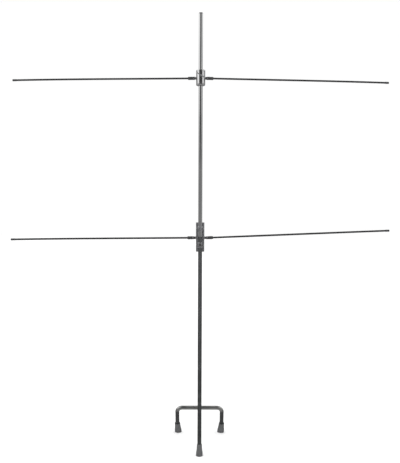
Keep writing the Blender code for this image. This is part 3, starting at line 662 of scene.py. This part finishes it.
# Hinge lugs: four plated steel lugs, each with a round neck, a shank riveted into its hub and a flat eye.
# One corner of the eye is left square and stops the arm just past level.
hinge_x = abs(lug_spot.x)
eye_thick = 0.0050
eye_radius = 0.0060
neck_radius = 0.0065
ferrule_radius = 0.0075
neck_end = hinge_x - ferrule_radius - gap
pin_radius = 0.0020
for level, hub_radius_here, body, square in (
        ("upper", collar_radius, "upper_head", -1), ("lower", bracket_outer - 0.0001, "lower_head", 1)):
    neck_start = hub_radius_here + gap
    for way, side in ((-1, "left"), (1, "right")):
        node = f"{level}_lug_{side}"
        lug = turned(node + "_plated", [
            (shank_radius - 0.0005, hub_radius_here - 0.0055), (shank_radius, hub_radius_here - 0.0050),
            (shank_radius, neck_start), (neck_radius - 0.0004, neck_start),
            (neck_radius, neck_start + 0.0004), (neck_radius, neck_end - 0.0005),
            (neck_radius - 0.0005, neck_end)], 48)
        lug.data.transform(Z_TO_X)
        eye_back = neck_end - 0.001
        eye = block(
            "eye", (eye_back, -eye_thick / 2, -eye_radius), (hinge_x + eye_radius, eye_thick / 2, eye_radius))
        bpy.ops.object.mode_set(mode="EDIT")
        bpy.ops.mesh.select_all(action="DESELECT")
        bpy.ops.object.mode_set(mode="OBJECT")
        for edge in eye.data.edges:
            first, second = (eye.data.vertices[corner].co for corner in edge.vertices)
            edge.select = (
                min(first.x, second.x) > hinge_x and (first.z > 0) == (second.z > 0) and first.z * square < 0)
        bpy.ops.object.mode_set(mode="EDIT")
        bpy.ops.mesh.select_mode(type="EDGE")
        bpy.ops.mesh.bevel(offset=eye_radius * 0.999, segments=10, affect="EDGES")
        bpy.ops.mesh.select_mode(type="VERT")
        bpy.ops.object.mode_set(mode="OBJECT")
        cut(lug, eye, "UNION")
        drill(lug, pin_radius + gap, -0.01, 0.01, Matrix.Translation((hinge_x, 0, 0)) @ Z_TO_FRONT, 28)
        soften(lug, 0.0003, 2, 50)
        turn = Matrix.Identity(4) if way > 0 else Matrix.Rotation(pi, 4, "Z")
        height = (lug_spot if level == "upper" else lower_lug_spot).z
        seat(lug, upright @ Matrix.Translation((0, 0, height)) @ turn, steel, "steel", body, node)

# Arms: on each lug a forked black ferrule on a headed steel pin, and in it a drawn tube rod.
# A brass screw at the back grips the rod and takes the feeder, and a moulded cap closes the rod's end.
dark_rod = metal(
    "dark_drawn_rod", (0.075, 0.078, 0.08), (0.115, 0.115, 0.118), 0.26, patch=30.0, spread=0.12,
    metallic=0.9)
ferrule_end = 0.0285
rod_radius = 0.0043
rod_start = 0.0110
slot_half = eye_thick / 2 + gap
slot_deep = eye_radius + 0.0008
pin_seat = ferrule_radius - 0.0009
terminal_x = 0.0200

ferrule_blank = turned("ferrule_blank", [
    (ferrule_radius, -ferrule_radius), (ferrule_radius, 0.0095),
    (ferrule_radius - 0.0005, 0.0098), (ferrule_radius - 0.0005, 0.0106), (ferrule_radius, 0.0109),
    (ferrule_radius, 0.0121), (ferrule_radius - 0.0005, 0.0124), (ferrule_radius - 0.0005, 0.0132),
    (ferrule_radius, 0.0135), (ferrule_radius, 0.0147), (ferrule_radius - 0.0005, 0.0150),
    (ferrule_radius - 0.0005, 0.0158), (ferrule_radius, 0.0161), (ferrule_radius, 0.0250),
    (ferrule_radius - 0.0004, 0.0264), (ferrule_radius - 0.0013, 0.0276), (ferrule_radius - 0.0025, 0.0283),
    (ferrule_radius - 0.0032, ferrule_end)], 56)
ferrule_blank.data.transform(Z_TO_X)
round_end = block(
    "round_end", (-ferrule_radius, -0.012, -ferrule_radius * 1.002), (0.06, 0.012, ferrule_radius * 1.002))
for edge in round_end.data.edges:
    first, second = (round_end.data.vertices[corner].co for corner in edge.vertices)
    edge.select = max(first.x, second.x) < 0 and first.z * second.z > 0
bpy.context.view_layer.objects.active = round_end
bpy.ops.object.mode_set(mode="EDIT")
bpy.ops.mesh.select_mode(type="EDGE")
bpy.ops.mesh.bevel(offset=ferrule_radius, segments=14, affect="EDGES")
bpy.ops.mesh.select_mode(type="VERT")
bpy.ops.object.mode_set(mode="OBJECT")
cut(ferrule_blank, round_end, "INTERSECT")
cut(ferrule_blank, block("fork_slot", (-0.02, -slot_half, -0.02), (slot_deep, slot_half, 0.02)))
drill(ferrule_blank, pin_radius + gap, -0.02, 0.02, Z_TO_FRONT, 28)
for turn in (Z_TO_FRONT, Z_TO_BACK):
    drill(ferrule_blank, 0.0039, pin_seat, 0.02, turn, 28)
drill(ferrule_blank, rod_radius + gap, rod_start - gap, 0.06, Z_TO_X, 40)
drill(ferrule_blank, 0.0018, 0, 0.02, Matrix.Translation((terminal_x, 0, 0)) @ Z_TO_BACK, 24)
soften(ferrule_blank, 0.00025, 2, 60)

pin_blank = turned("pin_blank", [
    (0.0018, -0.0081), (0.0029, -0.0077), (0.0033, -0.0071), (0.0033, -0.0069), (pin_radius, -0.0069),
    (pin_radius, 0.0069), (0.0036, 0.0069), (0.0036, 0.0072), (0.0031, 0.0078), (0.0020, 0.0081)], 32)
pin_blank.data.transform(Z_TO_FRONT)

terminal_seat = ferrule_radius + gap
terminal_top = terminal_seat + 0.0022
terminal_blank = turned("terminal_blank", [
    (0.0015, rod_radius + gap), (0.0015, terminal_seat), (0.0030, terminal_seat),
    (0.0032, ferrule_radius + 0.0005), (0.0032, terminal_top - 0.0006), (0.0028, terminal_top - 0.0002),
    (0.0022, terminal_top)], 32)
cut(terminal_blank, block("driver_slot", (-0.005, -0.0004, terminal_top - 0.0010), (0.005, 0.0004, 0.02)))
terminal_blank.data.transform(Matrix.Translation((terminal_x, 0, 0)) @ Z_TO_BACK)

bow_peak = 6.75
sags = {"upper_left": 0.0014, "upper_right": 0.0013, "lower_left": 0.0010, "lower_right": 0.0003}
for arm, sag in sags.items():
    hinge = Vector(joints[arm + "_fold"]["pos_m"])
    low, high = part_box(arm + "_rod_cap")
    cap_spot = (low + high) / 2
    out_way = (cap_spot - hinge).normalized()
    on_right = out_way.x > 0
    side_way = -to_front if on_right else to_front
    place = axes(out_way, side_way, out_way.cross(side_way), hinge)
    over = Matrix.Identity(4) if on_right else Matrix.Rotation(pi, 4, "X")
    body = arm + "_arm"
    for blank, label, finish, slot in (
            (ferrule_blank, "ferrule", black_plastic, "black_plastic"),
            (pin_blank, "hinge_pin", steel, "steel"), (terminal_blank, "terminal_screw", brass, "brass")):
        piece = blank.copy()
        piece.data = blank.data.copy()
        piece.name = f"{arm}_{label}_made"
        piece.data.name = piece.name
        bpy.context.scene.collection.objects.link(piece)
        seat(piece, place @ over, finish, slot, body, f"{arm}_{label}")
    rod_high = reach(arm + "_rod", place)[1]
    cap_low, cap_high = reach(arm + "_rod_cap", place)
    run = cap_high.x - rod_start
    stations = [rod_start + (rod_high.x - rod_start) * step / 30 for step in range(31)]
    rod = turned(arm + "_rod_drawn", [
        (rod_radius - 0.0008, stations[0]), *[(rod_radius, spot) for spot in stations],
        *[(rod_radius - 0.0008, spot) for spot in stations[::-1]]], 40)
    cap = turned(arm + "_rod_end", [
        (rod_radius + gap, cap_low.x), (rod_radius + 0.0006, cap_low.x),
        (rod_radius + 0.0008, cap_low.x + 0.0002),
        (rod_radius + 0.0008, cap_low.x + 0.0016), (rod_radius + 0.0006, cap_low.x + 0.0020),
        (rod_radius + 0.0006, cap_high.x - 0.0028), (rod_radius + 0.0008, cap_high.x - 0.0024),
        (rod_radius + 0.0002, cap_high.x - 0.0010), (rod_radius - 0.0008, cap_high.x - 0.0003),
        (rod_radius - 0.0022, cap_high.x)], 40)
    drill(cap, rod_radius + gap, cap_low.x - 0.01, rod_high.x + gap, Matrix.Identity(4), 40)
    for piece, label, finish, slot in (
            (rod, "rod", dark_rod, "dark_rod"), (cap, "rod_cap", black_plastic, "black_plastic")):
        piece.data.transform(Z_TO_X)
        for corner in piece.data.vertices:
            share = max(0.0, (corner.co.x - rod_start) / run)
            corner.co.z += sag * bow_peak * share * share * (1 - share)
        seat(piece, place, finish, slot, body, f"{arm}_{label}")
for blank in (ferrule_blank, pin_blank, terminal_blank):
    bpy.data.objects.remove(blank)

# Rear leg frame: one steel tube bent twice into a crossbar and two legs, raked to the mast.
# Its dark finish is painted paler along the crossbar, a painted reflection of the pale floor below, and the
# crossbar has a cross hole in the middle for its bolt.
leg_rake = radians(20.8)
leg_back = 0.319
leg_radius = 0.0101
leg_wall = 0.0015
leg_bend = 0.025
leg_side = 0.1115
leg_rise = 0.1523
leg_start = 0.0086
leg_place = Matrix.Translation((0, leg_back, 0)) @ Matrix.Rotation(leg_rake, 4, "X")
bpy.ops.object.select_all(action="DESELECT")
bpy.ops.mesh.primitive_circle_add(vertices=48, radius=leg_radius, fill_type="NOTHING", enter_editmode=True)
bpy.ops.transform.translate(value=(-leg_side, 0, leg_start))
bpy.ops.mesh.extrude_region_move(TRANSFORM_OT_translate={"value": (0, 0, leg_rise - leg_bend - leg_start)})
bpy.ops.mesh.spin(
    steps=16, angle=-pi / 2, center=(leg_bend - leg_side, 0, leg_rise - leg_bend), axis=(0, 1, 0))
bpy.ops.mesh.extrude_region_move(TRANSFORM_OT_translate={"value": (2 * (leg_side - leg_bend), 0, 0)})
bpy.ops.mesh.spin(
    steps=16, angle=-pi / 2, center=(leg_side - leg_bend, 0, leg_rise - leg_bend), axis=(0, 1, 0))
bpy.ops.mesh.extrude_region_move(TRANSFORM_OT_translate={"value": (0, 0, leg_start + leg_bend - leg_rise)})
bpy.ops.mesh.select_all(action="SELECT")
bpy.ops.mesh.remove_doubles(threshold=0.000002)
bpy.ops.mesh.normals_make_consistent(inside=False)
bpy.ops.object.mode_set(mode="OBJECT")
leg_frame = bpy.context.object
leg_frame.name = "rear_leg_tube"
leg_frame.data.name = "rear_leg_tube"
wall = leg_frame.modifiers.new("wall", "SOLIDIFY")
wall.thickness = leg_wall
wall.offset = -1
bpy.ops.object.modifier_apply(modifier=wall.name)
crossbar_spot = leg_place @ Vector((0, 0, leg_rise))
stay_spot = upright.inverted() @ crossbar_spot
to_crossbar = upright @ Matrix.Translation((0, 0, stay_spot.z)) @ Z_TO_BACK
drill(leg_frame, bolt_hole, stay_spot.y - 0.03, stay_spot.y + 0.03, leg_place.inverted() @ to_crossbar, 28)
leg_finish, leg_shader, leg_spot = start_finish("leg_frame_finish", 0.30, 1.0)
leg_up = leg_spot.node("SeparateXYZ", {0: leg_spot}, 2)
# Painted reflection: above this height the crossbar gets a paler colour than the legs, standing in for the
# pale floor mirrored in it.
painted_reflection_mask = leg_up.fade(0.116, 0.134)
blotches = leg_spot.node("TexNoise", {"Vector": leg_spot, "Scale": 30.0, "Detail": 5.0})
leg_gloss = 0.26 + 0.12 * painted_reflection_mask + (blotches - 0.5) * 0.15
dark_leg = blotches.node(
    "ValToRGB", {0: blotches}, stops=((0.33, (0.080, 0.083, 0.085)), (0.66, (0.12, 0.12, 0.12))))
# The pale crossbar colour: a painted reflection of the floor.
painted_reflection_bar = blotches.node(
    "ValToRGB", {0: blotches}, stops=((0.33, (0.30, 0.305, 0.30)), (0.66, (0.42, 0.42, 0.41))))
leg_colour = painted_reflection_mask.node("MixRGB", {0: painted_reflection_mask, 1: dark_leg, 2: painted_reflection_bar})
leg_finish.node_tree.links.new(leg_colour.socket, leg_shader.inputs["Base Color"])
leg_finish.node_tree.links.new(leg_gloss.socket, leg_shader.inputs["Roughness"])
seat(leg_frame, leg_place, leg_finish, "dark_tube", "base", "rear_leg_frame")

# Stay: a short tube from the back of the mast to the crossbar, square to the mast.
# A cast saddle is screwed to the mast in front, and a cast block bolted to the crossbar closes the other end.
stay_radius = 0.0080
stay_wall = 0.0015
stay_pin_hole = 0.0018
low, high = reach("stay_tube", to_crossbar)
stay_low, stay_high = low.z, high.z
stay = turned("stay_tube_drawn", tube_outline(stay_radius, stay_radius - stay_wall, stay_low, stay_high), 48)
for node in ("stay_pin_front", "stay_pin_rear"):
    pin_low, pin_high = reach(node, to_crossbar)
    spot = Matrix.Translation((0, 0, (pin_low.z + pin_high.z) / 2)) @ Z_TO_FRONT
    drill(stay, stay_pin_hole, -0.02, 0.02, spot, 20)
seat(stay, to_crossbar, dark_tube, "dark_tube", "base", "stay_tube")

saddle_place = upright @ Matrix.Translation((0, 0, stay_spot.z))
low, high = reach("stay_saddle", saddle_place)
saddle_back = 0.0175
saddle_screw_rise = 0.0215
saddle = block("stay_saddle_cast", (low.x, 0.004, low.z), (high.x, saddle_back, high.z), 0.0016, 4)
peg = turned("peg", [
    (0.0062, saddle_back - 0.002), (0.0062, high.y - 0.0008), (0.0054, high.y)], 40)
peg.data.transform(Z_TO_BACK)
cut(saddle, peg, "UNION")
drill(saddle, tube_seat, -0.06, 0.06, Matrix.Identity(4), 64)
pin_low, pin_high = reach("stay_pin_front", saddle_place)
drill(saddle, stay_pin_hole, -0.02, 0.02, Matrix.Translation((0, (pin_low.y + pin_high.y) / 2, 0)), 20)
for way in (-1, 1):
    drill(saddle, 0.0023, 0, 0.03, Matrix.Translation((0, 0, way * saddle_screw_rise)) @ Z_TO_BACK, 24)
seat(saddle, saddle_place, cast_alloy, "grey_alloy", "base", "stay_saddle")

for label, way in (("upper", 1), ("lower", -1)):
    node = "saddle_screw_" + label
    spot = saddle_place @ Matrix.Translation((0, 0, way * saddle_screw_rise)) @ Z_TO_BACK
    low, high = reach(node, spot)
    head = saddle_back + gap
    screw = turned(node + "_pan", [
        (0.0013, low.z), (0.0020, low.z + 0.0008), (0.0020, head), (0.0036, head), (0.0038, head + 0.0003),
        (0.0036, head + 0.0014), (0.0028, head + 0.0022), (0.0018, high.z)], 32)
    cut(screw, block("driver_slot", (-0.005, -0.0005, high.z - 0.0011), (0.005, 0.0005, 0.05)))
    seat(screw, spot, steel, "steel", "base", node)

low, high = reach("stay_end_block", to_crossbar)
block_shoulder = stay_high + gap
end_block = turned("stay_end_cast", [
    (0.0055, low.z), (0.0062, low.z + 0.0007), (0.0062, block_shoulder), (0.0076, block_shoulder),
    (0.0080, block_shoulder + 0.0004), (0.0080, stay_spot.y)], 48)
drill(
    end_block, leg_radius + gap, -0.03, 0.03, Matrix.Translation((0, 0, stay_spot.y)) @ Z_TO_X, 64)
drill(end_block, bolt_hole, 0.2, 0.3, Matrix.Identity(4), 28)
pin_low, pin_high = reach("stay_pin_rear", to_crossbar)
rear_pin_place = Matrix.Translation((0, 0, (pin_low.z + pin_high.z) / 2)) @ Z_TO_FRONT
drill(end_block, stay_pin_hole, -0.02, 0.02, rear_pin_place, 20)
seat(end_block, to_crossbar, cast_alloy, "grey_alloy", "base", "stay_end_block")

low, high = reach("crossbar_bolt", to_crossbar)
bolt_seat = stay_spot.y + leg_radius + gap
bolt = turned("crossbar_bolt_plated", [
    (0.0022, low.z), (bolt_radius, low.z + 0.0008), (bolt_radius, bolt_seat), (0.0055, bolt_seat),
    (0.0058, bolt_seat + 0.0003), (0.0058, high.z - 0.0010), (0.0048, high.z)], 40)
drill(bolt, 0.0030, high.z - 0.0024, high.z + 0.01, Matrix.Identity(4), 6)
seat(bolt, to_crossbar, steel, "steel", "base", "crossbar_bolt")

# Rubber tips: three flared grey rubber cups pushed on the tube ends, with a rolled lip and a ribbed foot.
# Their soles are cut flat on the floor, and the two rear ones lean in a little.
grey_rubber = moulded(
    "grey_rubber", (0.070, 0.072, 0.074), (0.115, 0.117, 0.12), 0.68, grain=1100.0, depth=0.12, patch=90.0)
left_leg = leg_place @ Matrix.Translation((-leg_side, 0, 0))
right_leg = leg_place @ Matrix.Translation((leg_side, 0, 0))
feet = (
    ("mast_foot", upright, 0.0095, 0.053, 0.0024, 0.0033, 0.0),
    ("rear_foot_left", left_leg, leg_radius, 0.056, 0.0036, 0.0032, 0.0040),
    ("rear_foot_right", right_leg, leg_radius, 0.056, 0.0036, 0.0032, -0.0040))
cup_floor = 0.006
for label, place, inner, tall, wall, flare, lean_in in feet:
    cup = inner + gap
    mouth = cup + wall
    foot = mouth + flare
    drop = lean_in / tall
    outer = [
        (foot, -0.010), (foot, 0.0045), (foot - 0.0006, 0.0052), (foot - 0.0006, 0.0062), (foot, 0.0069),
        (foot, 0.0089), (foot - 0.0006, 0.0096), (foot - 0.0006, 0.0106), (foot, 0.0113), (foot, 0.0133),
        (foot - 0.0006, 0.0140), (foot - 0.0006, 0.0150), (foot - 0.0001, 0.0157),
        (mouth + flare * 0.62, tall * 0.40), (mouth + flare * 0.25, tall * 0.55),
        (mouth + flare * 0.06, tall * 0.75), (mouth - 0.0004, tall - 0.0042), (mouth, tall - 0.0036),
        (mouth, tall - 0.0016), (mouth - 0.0006, tall - 0.0004), (mouth - 0.0013, tall)]
    tip = turned(label + "_rubber", [
        *[(radius, height, (tall - height) * drop) for radius, height in outer],
        (cup + 0.0004, tall), (cup, tall - 0.0004), (cup, cup_floor)], 64)
    tip.data.transform(place)
    bpy.ops.object.select_all(action="DESELECT")
    bpy.context.view_layer.objects.active = tip
    bpy.ops.object.mode_set(mode="EDIT")
    bpy.ops.mesh.select_all(action="SELECT")
    bpy.ops.mesh.bisect(
        plane_co=(0, 0, 0.0), plane_no=(0, 0, 1), use_fill=True, clear_inner=True, clear_outer=False)
    bpy.ops.object.mode_set(mode="OBJECT")
    seat(tip, Matrix.Identity(4), grey_rubber, "grey_rubber", "base", label + "_tip")
